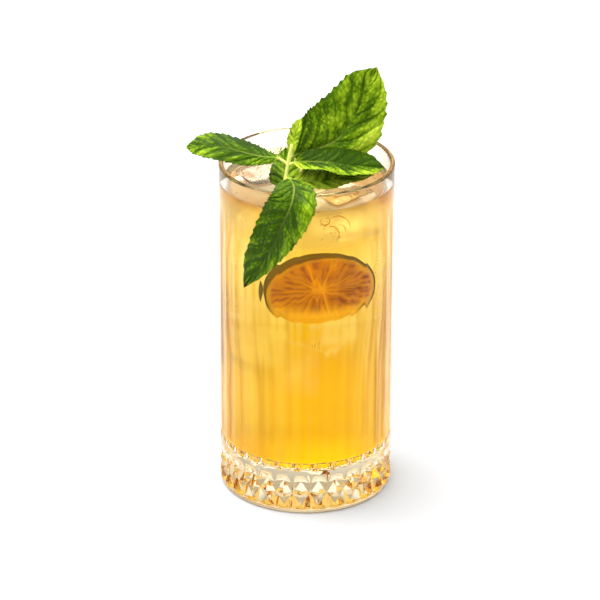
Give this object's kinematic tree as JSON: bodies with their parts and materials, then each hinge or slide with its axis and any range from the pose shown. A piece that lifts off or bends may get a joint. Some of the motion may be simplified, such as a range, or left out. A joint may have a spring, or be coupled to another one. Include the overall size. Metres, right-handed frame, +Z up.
{
  "type": "limeade in a glass",
  "caption": "Cold citrus drink with ice and a sprig of mint, filled almost to the rim of a tall fluted glass with a diamond-cut foot.",
  "frame": {"origin": "middle of the glass's flat underside, on the table", "axes": "+Z up along the glass, -Y towards the front, over which the lowest leaf hangs, +X to the right seen from the front"},
  "size_m": [0.0884, 0.0864, 0.1887],
  "materials": {
    "glass": "clear, polished",
    "drink": "cloudy amber-yellow liquid",
    "ice": "wet, half clear",
    "mint": "fresh leaf, satin, veined"
  },
  "bodies": {
    "root": {"glass": "glass", "drink": "drink", "ice_left": "ice", "ice_right": "ice", "mint_sprig": "mint"}
  },
  "joints": []
}
